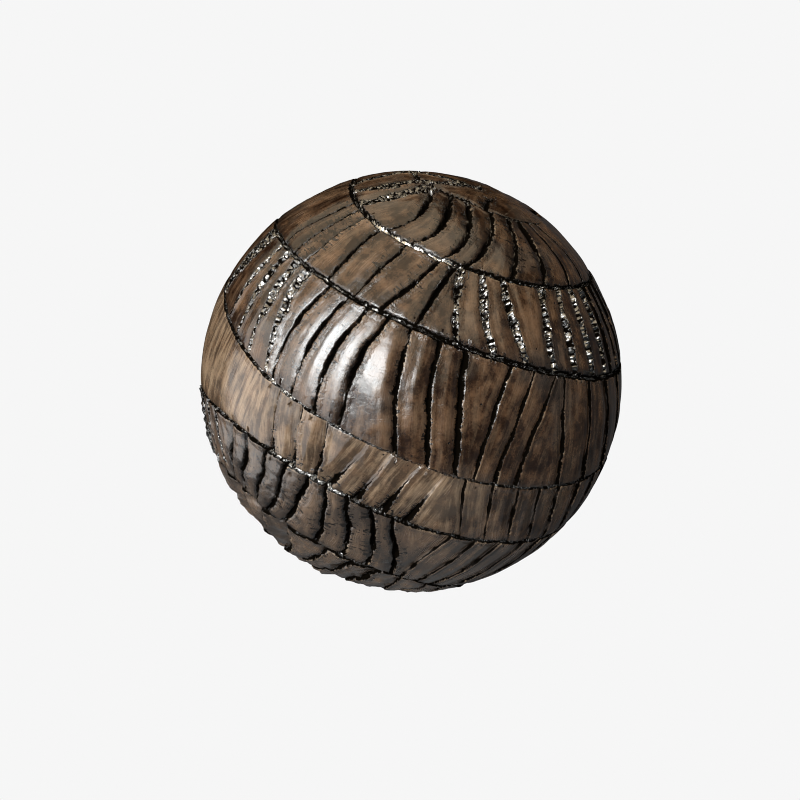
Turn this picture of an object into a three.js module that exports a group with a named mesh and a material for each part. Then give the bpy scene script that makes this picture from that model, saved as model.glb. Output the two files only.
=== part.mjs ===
// A decorative ball cast with carving all over: one winding groove runs round it from pole to
// pole, and fans of short curved grooves cross each winding, like leaves lapped round a ball.
// Millimetres, +Z up. The origin is on the surface the ball stands on, under its centre.
import * as THREE from "three";
import { ConvexGeometry } from "three/addons/geometries/ConvexGeometry.js";
import { mergeVertices } from "three/addons/utils/BufferGeometryUtils.js";

// Driving dimensions.
const BALL_RADIUS = 50; // to the tops of the leaves
const FLAT_RADIUS = 10; // the small flat that the ball stands on
const AXIS_LEAN = 25.7; // degrees from upright, towards +X, of the axis that the groove winds round
const PLAIN_COLLAR = 5; // degrees of smooth surface round the flat

// The winding groove, and how far a leaf's edge rounds over towards a groove.
const SEAM = { depth: 1.5, halfWidth: 1.0 };
const SEAM_FADE_TURNS = 0.12; // it comes up to the surface at each pole
const SHOULDER_DROP = 0.6;
const SHOULDER_REACH = 1.9;

// Latitude of the winding groove about its axis, one row for each turn from the top down,
// at these longitudes. Longitude 0 faces -Y and 90 is towards +X.
const TURN_LONGITUDES = [90, 45, 0, -45, -90];
const TURN_LATITUDES = [
  [79.5, 79.0, 77.5, 73.4, 66.0],
  [59.3, 58.8, 54.2, 49.0, 48.2],
  [33.5, 35.4, 34.0, 29.6, 25.8],
  [12.0, 7.6, 4.0, 2.4, 5.4],
  [-9.5, -11.0, -12.3, -15.0, -25.0],
  [-39.0, -37.5, -34.6, -35.3, -40.0],
  [-56.0, -55.0, -55.0, -57.0, -61.0],
  [-73.0, -74.0, -75.5, -77.0, -80.0],
];

// The kinds of cut that cross a band, in millimetres.
const CUTS = {
  pebbled: { depth: 1.1, halfWidth: 1.2 },
  deep: { depth: 1.7, halfWidth: 1.0 },
  soft: { depth: 1.0, halfWidth: 1.3 },
  fine: { depth: 0.7, halfWidth: 0.7 },
};

// A fan is a run of neighbouring cuts across one band, which turn 0 of the groove ends for band 0.
// "from" and "to" are the longitudes of its first and last cut halfway across the band. "lean" is
// how far a cut's lower end lies past its upper end, and "bow" how far its middle bulges, both in
// degrees of longitude and for the first and last cut.
const FANS = [
  { band: 0, from: -112, to: -85, count: 2, lean: [24, 18], bow: [0, 1], cut: "pebbled" },
  { band: 0, from: -33, to: -33, count: 1, lean: [14, 14], bow: [0, 0], cut: "fine" },
  { band: 1, from: -92, to: -78, count: 3, lean: [4, 5], bow: [3, 5], cut: "pebbled" },
  { band: 1, from: -64.5, to: -64.5, count: 1, lean: [12, 12], bow: [10, 10], cut: "pebbled" },
  { band: 1, from: -48.5, to: -20.4, count: 3, lean: [24, 20], bow: [12, 13], cut: "deep" },
  { band: 1, from: -8.6, to: -8.6, count: 1, lean: [7, 7], bow: [8, 8], cut: "deep" },
  { band: 1, from: 8.3, to: 60, count: 4, lean: [7, 14], bow: [5, 8], cut: "fine" },
  { band: 2, from: -71, to: -58, count: 3, lean: [0, 1], bow: [0, 0], cut: "fine" },
  { band: 2, from: -47.7, to: -24.8, count: 3, lean: [3, -5.6], bow: [0.5, 0.5], cut: "deep" },
  { band: 2, from: -16.6, to: -16.6, count: 1, lean: [-1, -1], bow: [0, 0], cut: "deep" },
  { band: 2, from: -10.2, to: 9.5, count: 3, lean: [10, 16], bow: [-1, -1], cut: "pebbled" },
  { band: 2, from: 23.8, to: 53.8, count: 4, lean: [7.5, 6], bow: [-1.5, 0], cut: "pebbled" },
  { band: 2, from: 60, to: 83, count: 4, lean: [4, 4], bow: [-0.5, 0], cut: "pebbled" },
  { band: 3, from: -83.5, to: -50.6, count: 6, lean: [-1, 9], bow: [0, -1.5], cut: "pebbled" },
  { band: 3, from: -45, to: -24.2, count: 4, lean: [2.5, 3.5], bow: [-1.5, -1.5], cut: "deep" },
  { band: 3, from: -12.7, to: 3.7, count: 3, lean: [12, 10.5], bow: [-1, -1], cut: "deep" },
  { band: 3, from: 12.2, to: 25.6, count: 3, lean: [1.5, -4], bow: [-2, -2.6], cut: "deep" },
  { band: 3, from: 36, to: 72, count: 4, lean: [8, 7], bow: [-1, 0], cut: "soft" },
  { band: 4, from: -36.3, to: -22, count: 3, lean: [5, 4], bow: [0, 0], cut: "fine" },
  { band: 4, from: -14.3, to: 6, count: 4, lean: [-3.6, -2.5], bow: [0, 0], cut: "fine" },
  { band: 4, from: 15.8, to: 45.5, count: 5, lean: [6.6, 8], bow: [-0.5, -0.5], cut: "soft" },
  { band: 4, from: 54, to: 78, count: 4, lean: [7, 6], bow: [-0.5, 0], cut: "soft" },
  { band: 5, from: -76, to: -55, count: 4, lean: [10, 8], bow: [1, 1], cut: "pebbled" },
  { band: 5, from: -48.1, to: -23, count: 5, lean: [1, -4], bow: [1, 1], cut: "deep" },
  { band: 5, from: -14.2, to: 7.7, count: 4, lean: [3.5, 11.5], bow: [1, 1], cut: "deep" },
  { band: 5, from: 15.3, to: 31, count: 3, lean: [-2, -3.5], bow: [-1, 0], cut: "soft" },
  { band: 5, from: 40, to: 74, count: 5, lean: [-3, 3], bow: [0, 0], cut: "soft" },
  { band: 6, from: -80, to: -22, count: 5, lean: [6, 5], bow: [1, 1], cut: "soft" },
  { band: 6, from: -12.2, to: 7, count: 3, lean: [-7.4, -5.8], bow: [0, 0], cut: "soft" },
  { band: 6, from: 19, to: 75, count: 6, lean: [5, 5], bow: [0, 0], cut: "soft" },
  { band: 7, from: -75, to: 60, count: 6, lean: [10, 10], bow: [4, 4], cut: "soft" },
];

// The far side, towards +Y, carries plainer fans: in each band one even run of cuts.
const FAR_FROM = -262;
const FAR_TO = -100;
const FAR_FANS = [
  { band: 0, from: -230, to: -160, count: 2, lean: [20, 20], bow: [2, 2], cut: "soft" },
  ...[
    { band: 1, count: 9, lean: [14, 6], bow: [9, 4], cut: "soft" },
    { band: 2, count: 12, lean: [6, -4], bow: [2, 1], cut: "deep" },
    { band: 3, count: 14, lean: [8, 2], bow: [-1, -1], cut: "soft" },
    { band: 4, count: 13, lean: [-6, 5], bow: [1, 0], cut: "deep" },
    { band: 5, count: 12, lean: [8, 10], bow: [1, 1], cut: "soft" },
    { band: 6, count: 9, lean: [4, 8], bow: [1, 2], cut: "deep" },
  ].map((fan) => ({ ...fan, from: FAR_FROM, to: FAR_TO })),
];

// How finely the surface is faceted.
const SEAM_STEP = 3.8;
const CUT_STEP = 4.0;
const LEAF_STEP = 2.7;
const LEAF_CANDIDATES_PER_STEP = 4;
const CROWDED = 0.7; // of a groove's half width: too close together for two corners
const FLAT_SIDES = 20;

const lerp = THREE.MathUtils.lerp;
const smoothstep = THREE.MathUtils.smoothstep;
const radians = THREE.MathUtils.degToRad;
const DOWN = new THREE.Vector3(0, 0, -1);
const LEAN_HINGE = new THREE.Vector3(0, 1, 0);
const FLAT_ANGLE = Math.asin(FLAT_RADIUS / BALL_RADIUS);
const STANDING_HEIGHT = BALL_RADIUS * Math.cos(FLAT_ANGLE);

// The unit vector at a latitude and longitude, in degrees, about the leaning axis.
function direction(latitude, longitude) {
  const ring = Math.cos(radians(latitude));
  const around = radians(longitude);
  return new THREE.Vector3(
    ring * Math.sin(around),
    -ring * Math.cos(around),
    Math.sin(radians(latitude)),
  ).applyAxisAngle(LEAN_HINGE, radians(AXIS_LEAN));
}

// The winding groove as latitude against turns from the top: a smooth curve through the rows.
const KNOTS = TURN_LATITUDES.flatMap((row, turn) =>
  row.map((latitude, i) => ({ turns: turnsAt(turn, TURN_LONGITUDES[i]), latitude })),
);
const LAST_KNOT = KNOTS.length - 1;

function turnsAt(turn, longitude) {
  return turn + (TURN_LONGITUDES[0] - longitude) / 360;
}

function rise(i) {
  return (KNOTS[i + 1].latitude - KNOTS[i].latitude) / (KNOTS[i + 1].turns - KNOTS[i].turns);
}

function slopeAtKnot(i) {
  if (i === 0) return rise(0);
  if (i === LAST_KNOT) return rise(LAST_KNOT - 1);
  const before = KNOTS[i].turns - KNOTS[i - 1].turns;
  const after = KNOTS[i + 1].turns - KNOTS[i].turns;
  return (rise(i) * before + rise(i - 1) * after) / (before + after);
}

function seamLatitude(turns) {
  const top = KNOTS[0];
  if (turns <= top.turns) return top.latitude + slopeAtKnot(0) * (turns - top.turns);
  const i = Math.min(KNOTS.findLastIndex((knot) => knot.turns <= turns), LAST_KNOT - 1);
  const span = KNOTS[i + 1].turns - KNOTS[i].turns;
  const u = (turns - KNOTS[i].turns) / span;
  const s = 1 - u;
  return (
    KNOTS[i].latitude * s * s * (1 + 2 * u) +
    KNOTS[i + 1].latitude * u * u * (1 + 2 * s) +
    slopeAtKnot(i) * span * u * s * s -
    slopeAtKnot(i + 1) * span * s * u * u
  );
}

// A point of a band: 0 across is on its upper edge and 1 on its lower edge.
function bandPoint(band, longitude, across) {
  const upper = seamLatitude(turnsAt(band - 1, longitude));
  const lower = seamLatitude(turnsAt(band, longitude));
  return direction(lerp(upper, lower, across), longitude);
}

// A groove is a row of unit vectors along its bottom, with its depth at each of them.
function seamGroove() {
  const end = KNOTS[LAST_KNOT].turns;
  const points = [];
  const depths = [];
  let turns = 0;
  while (turns <= end) {
    const latitude = seamLatitude(turns);
    points.push(direction(latitude, TURN_LONGITUDES[0] - 360 * turns));
    depths.push(SEAM.depth * smoothstep(Math.min(turns, end - turns), 0, SEAM_FADE_TURNS));
    turns += SEAM_STEP / (2 * Math.PI * BALL_RADIUS * Math.cos(radians(latitude)));
  }
  return { points, depths, halfWidth: SEAM.halfWidth };
}

function cutGroove(band, longitude, lean, bow, { depth, halfWidth }) {
  const pointAt = (across) => {
    const bulge = bow * (4 * across * (1 - across) - 1);
    return bandPoint(band, longitude + lean * (across - 0.5) + bulge, across);
  };
  const middle = pointAt(0.5);
  const length = BALL_RADIUS * (pointAt(0).angleTo(middle) + middle.angleTo(pointAt(1)));
  const steps = Math.max(3, Math.round(length / CUT_STEP));
  const points = [];
  for (let i = 0; i <= steps; i++) points.push(pointAt(i / steps));
  return { points, depths: points.map(() => depth), halfWidth };
}

function fanGrooves({ band, from, to, count, lean, bow, cut }) {
  const grooves = [];
  for (let i = 0; i < count; i++) {
    const share = count > 1 ? i / (count - 1) : 0;
    grooves.push(cutGroove(band, lerp(from, to, share), lerp(...lean, share), lerp(...bow, share), CUTS[cut]));
  }
  return grooves;
}

// Millimetres along the surface from a unit vector to a groove's line, and the depth there.
const nearest = new THREE.Vector3();
const stretch = new THREE.Line3();
function measureTo(groove, at) {
  let best = { distance: Infinity, depth: 0 };
  for (let i = 0; i + 1 < groove.points.length; i++) {
    stretch.set(groove.points[i], groove.points[i + 1]);
    const share = stretch.closestPointToPointParameter(at, true);
    const distance = BALL_RADIUS * stretch.at(share, nearest).distanceTo(at);
    if (distance < best.distance) {
      best = { distance, depth: lerp(groove.depths[i], groove.depths[i + 1], share) };
    }
  }
  return best;
}

// How far the surface lies below BALL_RADIUS at a unit vector.
function carvedDepth(grooves, at) {
  let cut = 0;
  let shoulder = 0;
  for (const groove of grooves) {
    const { distance, depth } = measureTo(groove, at);
    cut = Math.max(cut, depth * (1 - smoothstep(distance, 0, groove.halfWidth)));
    const share = Math.min(1, depth / SHOULDER_DROP);
    shoulder = Math.max(shoulder, share * SHOULDER_DROP * Math.exp(-distance / SHOULDER_REACH));
  }
  return Math.max(cut, shoulder) * smoothstep(at.angleTo(DOWN) - FLAT_ANGLE, 0, radians(PLAIN_COLLAR));
}

// Corners go along each groove's bottom and both its edges first, then over the leaves between.
function surfacePoints(grooves) {
  const points = [DOWN];
  for (let i = 0; i < FLAT_SIDES; i++) {
    const rim = DOWN.clone().applyAxisAngle(LEAN_HINGE, FLAT_ANGLE);
    points.push(rim.applyAxisAngle(DOWN, (2 * Math.PI * i) / FLAT_SIDES));
  }
  const addClearOf = (clearance, point) => {
    const onFlat = point.angleTo(DOWN) * BALL_RADIUS < FLAT_RADIUS + clearance;
    const isFree = points.every((other) => other.distanceTo(point) * BALL_RADIUS > clearance);
    if (!onFlat && isFree) points.push(point);
  };
  const inAGroove = (point, others) =>
    others.some((groove) => measureTo(groove, point).distance < groove.halfWidth);

  for (const { points: line, halfWidth } of grooves) {
    for (const point of line) addClearOf(halfWidth, point);
  }
  for (const groove of grooves) {
    const { points: line, halfWidth } = groove;
    const others = grooves.filter((other) => other !== groove);
    line.forEach((point, i) => {
      const along = line[Math.min(i + 1, line.length - 1)].clone().sub(line[Math.max(i - 1, 0)]);
      const aside = along.cross(point).setLength(halfWidth / BALL_RADIUS);
      for (const edge of [point.clone().add(aside), point.clone().sub(aside)]) {
        edge.normalize();
        if (!inAGroove(edge, others)) addClearOf(halfWidth * CROWDED, edge);
      }
    });
  }
  const evenly = Math.round((4 * Math.PI * BALL_RADIUS ** 2 * LEAF_CANDIDATES_PER_STEP) / LEAF_STEP ** 2);
  const golden = Math.PI * (3 - Math.sqrt(5));
  for (let i = 0; i < evenly; i++) {
    const height = 1 - (2 * i + 1) / evenly;
    const ring = Math.sqrt(1 - height * height);
    const point = new THREE.Vector3(ring * Math.cos(golden * i), ring * Math.sin(golden * i), height);
    if (!inAGroove(point, grooves)) addClearOf(LEAF_STEP, point);
  }
  return points;
}

// The hull of corners on a unit sphere is a closed skin of triangles. Each corner then goes in
// to its carved depth, and those of the flat to its plane.
function carvedBallGeometry() {
  const grooves = [seamGroove(), ...FANS.flatMap(fanGrooves), ...FAR_FANS.flatMap(fanGrooves)];
  const skin = new ConvexGeometry(surfacePoints(grooves));
  skin.deleteAttribute("normal");
  const geometry = mergeVertices(skin);
  const corners = geometry.getAttribute("position");
  const corner = new THREE.Vector3();
  for (let i = 0; i < corners.count; i++) {
    corner.fromBufferAttribute(corners, i).normalize();
    let radius = BALL_RADIUS - carvedDepth(grooves, corner);
    if (-corner.z * radius > STANDING_HEIGHT) radius = STANDING_HEIGHT / -corner.z;
    corner.multiplyScalar(radius);
    corners.setXYZ(i, corner.x, corner.y, corner.z);
  }
  geometry.computeVertexNormals();
  return geometry;
}

function carvedBall() {
  const varnishedBrown = new THREE.MeshStandardMaterial({ color: 0x5a4636, roughness: 0.32, metalness: 0 });
  const ball = new THREE.Mesh(carvedBallGeometry(), varnishedBrown);
  ball.name = "carved_ball";
  ball.position.z = STANDING_HEIGHT;
  return ball;
}

const decorativeSphere = new THREE.Group();
decorativeSphere.add(carvedBall());

export default decorativeSphere;
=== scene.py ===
"""A decorative ball of cast resin, carved with one winding groove and fans of lapped leaves, then
painted dark brown, dry-brushed with tan and varnished.

The grooves' lines are worked out here as a wire mesh. The ball's modifier carves them into an even
ball and stores on it how each corner lies to them, which the paint reads."""

import math
from collections import Counter
from functools import cached_property
from typing import NamedTuple

import bpy
from mathutils import Matrix, Vector

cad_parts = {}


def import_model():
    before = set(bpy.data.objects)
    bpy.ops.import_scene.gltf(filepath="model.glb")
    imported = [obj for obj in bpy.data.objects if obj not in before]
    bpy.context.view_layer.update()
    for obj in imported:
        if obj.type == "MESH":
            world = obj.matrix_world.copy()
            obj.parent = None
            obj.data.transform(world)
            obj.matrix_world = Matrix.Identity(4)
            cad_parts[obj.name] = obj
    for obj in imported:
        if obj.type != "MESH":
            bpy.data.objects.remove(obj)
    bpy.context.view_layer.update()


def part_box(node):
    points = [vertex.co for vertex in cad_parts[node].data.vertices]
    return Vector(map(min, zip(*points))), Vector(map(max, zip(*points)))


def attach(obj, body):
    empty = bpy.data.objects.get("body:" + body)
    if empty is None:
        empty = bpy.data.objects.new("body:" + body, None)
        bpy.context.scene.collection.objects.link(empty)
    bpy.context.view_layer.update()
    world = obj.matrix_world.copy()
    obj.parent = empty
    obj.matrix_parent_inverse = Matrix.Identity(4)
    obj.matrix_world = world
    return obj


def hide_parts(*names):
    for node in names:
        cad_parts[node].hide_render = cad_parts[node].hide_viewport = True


MM = 0.001
NODE = "carved_ball"

# The ball. The groove winds round an axis that leans from upright towards +X, in degrees.
BALL_RADIUS = 50 * MM
FLAT_RADIUS = 10 * MM
AXIS_LEAN = 25.7
CELLS = 128  # quads along each side of the six patches that cover the ball
FINER_SIDE = (-0.03, -0.18, 0.08)  # towards the side with the smallest quads, and by how much
LOWEST_PLACE = (-1, -1, 0)  # nothing of the ball is lower than the table, which is at 0

# Sizes of the carving, each an input of the ball's modifier.
CARVING_SIZES = {
    "Collar": 4 * MM,  # round the flat, over which the carving begins
    "Draw": 0.42,  # how strongly the quads crowd towards each line
    "Draw Reach": 3.2 * MM,
    "Wobble": 2.6 * MM,  # how far cuts wander
    "Wobble Size": 14 * MM,
    "Kink": 2.1 * MM,  # how far cuts near the bottom zigzag
    "Kink Size": 6 * MM,
    "Width Size": 4 * MM,  # along a cut, from where it is wide to where it is narrow
    "Pebble": 0.38 * MM,  # height of the pebbles in a pebbled groove
    "Swell": 1.1 * MM,  # height of the casting's broad unevenness
    "Swell Size": 24 * MM,
    "Pleat": 0.55 * MM,  # height of the soft ridges beside cuts
    "Pleat Size": 2.6 * MM,
    "Facet": 0.3 * MM,  # height of smaller lumps
    "Facet Size": 7 * MM,
}
WIDTH_VARIETY = (0.75, 1.25)  # a cut's least and greatest width, of what its kind says
WIDTH_NOISE = (0.36, 0.64)  # the noise at which it has them
PLEAT_STRETCH = 0.1  # how wide the soft ridges beside cuts are for their length
PLEAT_FADE = (4 * MM, 7 * MM)  # how far from a cut they start and end to fade out
PEBBLE_SIZE = 0.7 * MM
PEBBLE_TILT = 0.6  # the steepest slope of a pebble's flat top
PEBBLE_BED = 0.5 * MM  # how far the ground between pebbles stands above the groove's floor
PEBBLE_EDGE = (0.66, 0.54)  # from its middle, where a pebble ends and is full, as shares of its size
PEBBLED_NEAR = 0.5  # how far out pebbles stay full, as shares of the groove's widths
PEBBLED_FAR = 0.7
KINKED_FROM = 5.0  # how many turns down the cuts start to zigzag
KINK_CHANGE = 0.1  # turns before and after that, over which it comes in
LUMPY_FROM = 5.4  # how many turns down the smaller lumps get higher
LUMPY_CHANGE = 0.3
LUMPIER = 10.0  # how many times higher

# Where a groove's floor ends, where the lapping leaf's surface ends in it and where the step up on
# the other side starts, each as a share of the groove's width on that side.
NEAR_FLOOR = 0.45
FAR_FLOOR = 0.25
LAP_END = 0.5
STEP_START = 0.1

# Latitude of the winding groove about its axis, one row for each turn from the top down, at these
# longitudes. Longitude 0 faces -Y and 90 is towards +X.
TURN_LONGITUDES = (90, 45, 0, -45, -90)
TURN_LATITUDES = (
    (79.5, 79.0, 77.5, 73.4, 66.0),
    (59.3, 58.8, 54.2, 49.0, 48.2),
    (33.5, 35.4, 34.0, 29.6, 25.8),
    (12.0, 7.6, 4.0, 2.4, 5.4),
    (-9.5, -11.0, -12.3, -15.0, -25.0),
    (-39.0, -37.5, -34.6, -35.3, -40.0),
    (-56.0, -55.0, -55.0, -57.0, -61.0),
    (-73.0, -74.0, -75.5, -77.0, -80.0),
)
# How strong it is along those same rows: 1 is its full depth and width.
TURN_STRENGTHS = (
    (0.3, 0.4, 0.7, 0.9, 0.9),
    (0.9, 0.9, 1.0, 1.1, 1.0),
    (1.2, 1.2, 1.1, 0.9, 0.9),
    (0.7, 0.55, 0.15, 0.6, 0.7),
    (0.8, 0.7, 0.7, 0.8, 0.6),
    (0.9, 0.9, 0.9, 1.0, 1.5),
    (0.9, 0.9, 0.9, 1.0, 1.5),
    (0.9, 0.9, 0.9, 1.0, 1.3),
)
SEAM_FADE_TURNS = 0.12  # over which it fades out at both ends
SEAM_STEADINESS = 0.3  # how far it wanders, as a share of a cut's wandering
# Where its bead is silvered: from and to how many turns down, and how brightly.
SILVERED_TURNS = ((1.29, 1.41, 1.0), (3.33, 3.38, 0.4), (4.275, 4.345, 0.4))
SILVER_FADE_TURNS = 0.015

# The lines are in five sets, so that a leaf is shaped by the grooves on all its sides: the winding
# groove's, two for the cuts of even bands and two for those of odd ones.
SEAM_SET = 0
SET_COUNT = 5
GROOVES = ("seam", "even", "odd")  # the winding groove, and the even and odd cuts of each band
GUIDE_STEP = 0.45 * MM
FEWEST_STEPS = 4
LINE_SPACING = 0.1  # between the distances along neighbouring lines, so that no two share any
GUIDE_VECTORS = ("form", "widths", "way", "ahead")
GUIDE_NUMBERS = ("silvered", "turn", "along")


class Kind(NamedTuple):
    """A kind of groove, in millimetres. The near side of a cut is towards lesser longitudes, and the
    winding groove's is above it."""

    depth: float
    near: float  # from its line to its edge on each side
    far: float
    lap: float  # how far the near leaf's surface has sunk where it meets the groove
    reach: float  # over this distance
    stain: float  # how far black paint spreads from the near edge
    pebbled: float = 0.0  # 1 where its floor is pebbled
    widths: tuple = (1, 1, 1)  # its width and depth at its upper end, middle and lower end, of the whole
    span: tuple = (0, 1)  # where it starts and ends across its band


KINDS = {
    "seam": Kind(0.9, 0.55, 0.45, 0.15, 1.4, 0.1),
    "crusted": Kind(1.1, 2.8, 2.4, 0.3, 2.0, 0.1, 1.0, (1, 1.1, 0.8)),
    "studded": Kind(0.9, 1.5, 1.4, 0.3, 2.0, 0.1, 1.0, (1, 1.1, 0.8)),
    "stippled": Kind(1.4, 1.1, 1.0, 0.3, 1.6, 0.1, 1.0, (1.2, 1, 0.35), (0.0, 0.95)),
    "ramped": Kind(1.9, 0.45, 0.95, 0.4, 1.6, 0.1, 1.0, (0.8, 1, 0.8), (0, 0.97)),
    "deep": Kind(1.3, 0.5, 0.45, 0.7, 2.6, 0.25, 0.0, (0.75, 1.15, 0.6)),
    "hacked": Kind(1.3, 0.62, 0.48, 0.5, 2.4, 0.3, 0.0, (0.8, 1.15, 0.75)),
    "plain": Kind(0.45, 0.26, 0.18, 0.55, 2.8, 0.04, 0.0, (0.9, 1, 1)),
    "scooped": Kind(0.7, 0.5, 0.3, 1.0, 2.4, 0.1, 0.0, (1, 1, 0.8)),
    "soft": Kind(0.6, 0.35, 0.3, 0.7, 3.0, 0.25, 0.0, (1, 1, 0.8)),
    "eased": Kind(0.3, 0.2, 0.14, 0.55, 2.8, 0.0, 0.0, (1, 1, 0.8)),
    "crease": Kind(0.8, 0.4, 0.22, 1.3, 3.0, 0.08, 0.0, (0.6, 1, 2.0)),
    "fold": Kind(0.4, 0.2, 0.2, 1.2, 3.2, 0.05, 0.0, (0.3, 0.8, 3.0)),
    "lapped": Kind(0.3, 0.25, 0.25, 1.9, 5.5, 0.15, 0.0, (0.8, 1, 0.8)),
    "fine": Kind(0.6, 0.4, 0.35, 0.4, 1.8, 0.35, 0.0, (1, 1, 1)),
    "faint": Kind(0.25, 0.25, 0.2, 0.15, 2.0, 0.0, 0.0, (0.6, 1, 1)),
}

# Fans of cuts across a band: the band, the longitudes of the first and last cut halfway across
# it, how many, how far a cut's lower end lies past its upper end and how far its middle bulges
# (in degrees, for the first and last cut), and their kind.
FANS = (
    (0, -103.5, -103.5, 1, (-13, -13), (0, 0), "studded"),
    (0, -83, -83, 1, (22, 22), (11, 11), "studded"),
    (0, -33, -33, 1, (14, 14), (0, 0), "fine"),
    (1, -99, -99, 1, (14, 14), (1, 1), "studded"),
    (1, -79.5, -67, 2, (3, 3), (5, 4.5), "studded"),
    (1, -48.5, -20.4, 3, (24, 20), (12, 13), "deep"),
    (1, -8.6, -8.6, 1, (7, 7), (8, 8), "deep"),
    (1, 8.3, 25, 2, (7, 10), (5, 6), "fine"),
    (1, 43, 60, 2, (12, 14), (7, 8), "faint"),
    (2, -71, -58, 3, (0, 1), (0, 0), "fine"),
    (2, -47.7, -24.8, 3, (3, -5.6), (0.5, 0.5), "deep"),
    (2, -16.6, -16.6, 1, (-1, -1), (0, 0), "deep"),
    (2, -10.2, 9.5, 3, (10, 16), (-1, -1), "ramped"),
    (2, 23.8, 53.8, 4, (7.5, 6), (-1.5, 0), "ramped"),
    (2, 60, 83, 4, (4, 4), (-0.5, 0), "fine"),
    (3, -82, -82, 1, (0, 0), (0, 0), "crusted"),
    (3, -70.3, -50.6, 4, (3, 9), (-0.6, -1.5), "stippled"),
    (3, -45, -24.2, 4, (2.5, 3.5), (-1.5, -1.5), "deep"),
    (3, -12.7, 3.7, 3, (12, 10.5), (-1, -1), "scooped"),
    (3, 12.2, 25.6, 3, (1.5, -4), (-2, -2.6), "plain"),
    (3, 36, 72, 4, (8, 7), (-1, 0), "plain"),
    (4, -36.3, -22, 3, (5, 4), (0, 0), "crease"),
    (4, -14.3, 6, 4, (-3.6, -2.5), (0, 0), "fold"),
    (4, 15.8, 45.5, 5, (6.6, 8), (-0.5, -0.5), "eased"),
    (4, 54, 78, 4, (7, 6), (-0.5, 0), "eased"),
    (5, -79, -70, 2, (10, 9), (1, 1), "crusted"),
    (5, -62, -55, 2, (9, 8), (1, 1), "stippled"),
    (5, -48.1, -23, 5, (1, -4), (1, 1), "hacked"),
    (5, -14.2, 7.7, 4, (3.5, 11.5), (1, 1), "hacked"),
    (5, 15.3, 31, 3, (-2, -3.5), (-1, 0), "eased"),
    (5, 40, 74, 5, (-3, 3), (0, 0), "eased"),
    (6, -80, -22, 7, (6, 2), (1, 2), "lapped"),
    (6, -12.2, 7, 3, (-7.4, -5.8), (0, 0), "soft"),
    (6, 19, 75, 6, (5, 5), (0, 0), "eased"),
    (7, -82, 46, 9, (12, 12), (4, 4), "lapped"),
    # the far side, plainer
    (0, -230, -160, 2, (20, 20), (2, 2), "soft"),
    (1, -262, -118, 8, (14, 6), (9, 4), "soft"),
    (2, -262, -100, 12, (6, -4), (2, 1), "deep"),
    (3, -262, -100, 14, (8, 2), (-1, -1), "soft"),
    (4, -262, -100, 13, (-6, 5), (1, 0), "deep"),
    (5, -262, -100, 12, (8, 10), (1, 1), "soft"),
    (6, -262, -100, 9, (4, 8), (1, 2), "deep"),
)

# The paint. Each noise has a size, a detail and a roughness.
PATCHES = (9 * MM, 4.0, 0.6)
GREYED = (14 * MM, 3.0, 0.6)
DENTS = (2.2 * MM, 2.0, 0.5)
CRUMBS = (0.4 * MM, 2.0, 0.6)
BITES = (1.3 * MM, 2.0, 0.6)
TEETH = (0.6 * MM, 2.0, 0.7)
FINE_STROKE = 0.28 * MM
BROAD_STROKE = 1.2 * MM
SCRATCH = 0.3 * MM
STROKE_STRETCH = 0.06  # how wide a brush stroke is for its length
SCRATCH_STRETCH = 0.05
BRUSHED_TURNS = 4.38  # how many turns down the dry-brushing shows most
BRUSHED_SPREAD = (0.24, 0.12)  # from there, where it shows a little and most
GREY_REFLECTION_TURNS = (4.9, 5.2)  # how many turns down the brown turns greyer, as a painted reflection from below
PIT_WIDTH = 0.5 * MM
PIT_SPACING = 4.4 * MM
SEAM_PIT_SPACING = 1.7 * MM
SEAM_PIT_REACH = (1.8 * MM, 0.8 * MM)  # from the winding groove, where its own pits are none and most
FREE_BRUSHING = (5 * MM, 8 * MM)  # from a cut, where strokes start and end to leave its course
PAINT_EDGE = 0.06 * MM  # over which a groove's black ends
PAST_FAR = 0.1 * MM  # how far it spreads beyond the groove's far edge
RAGGED_CRUMBS = 0.6 * MM  # how far each noise shifts its edges
RAGGED_BITES = 1.1 * MM
RAGGED_DENTS = 0.7 * MM
RAGGED_STAIN = 0.15 * MM  # the stain at which edges are fully ragged
SHADED_STAIN = 0.2 * MM  # the stain at which the leaf beside a cut is fully shaded
TOOTH_REACH = 6  # how far the stain's teeth reach out, in times the stain
# How far the painted shade reaches over the leaf from a cut's near edge.
SHADE_REACH = 2.6 * MM
RIM_REACH = 1.6 * MM
EDGE_WEAR_AND_HIGHLIGHT_RIM = (0.65, 0.95)  # how near the far edge is, from 0 to 1, where the wear and painted highlight start and are full
BEAD_EDGE = (0.34 * MM, 0.14 * MM)  # from a groove's line, where its bead's paint starts and is full
SILVER_SPREAD = 0.2 * MM  # how much wider that is where it is silvered
NEAR_LINE = (4 * MM, 3.5 * MM)  # the distances from a line at which its paint is gone and full
NARROW = (0.08 * MM, 0.2 * MM)  # the widths of a groove at which its paint is gone and full
ROUGHNESS = (0.16, 0.28)

# The least and the most of a mix of noises, between which each of these sets in.
BRUSHED = (0.86, 1.2)
MOTTLED = (1.25, 2.05)
GREYED_PATCH = (0.5, 0.65)
EDGE_WEAR_AND_HIGHLIGHT = (0.86, 1.06)
TOOTHED = (0.51, 0.57)
TOOTHED_PATCH = (0.38, 0.6)
GLINTING = (0.46, 0.56)
SCRATCHED = (0.6, 0.7)
SCRATCHED_PATCH = (0.5, 0.6)

DARK_BROWN = (0.012, 0.0054, 0.0029, 1)
BROWN = (0.1, 0.054, 0.0285, 1)
# Grey-brown in random patches, and low down as a painted reflection from below.
GREY_BROWN = (0.075, 0.063, 0.053, 1)
TAN = (0.26, 0.185, 0.12, 1)
# Painted shade on the leaf beside a cut's near side.
SHADE_BROWN = (0.012, 0.008, 0.006, 1)
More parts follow.
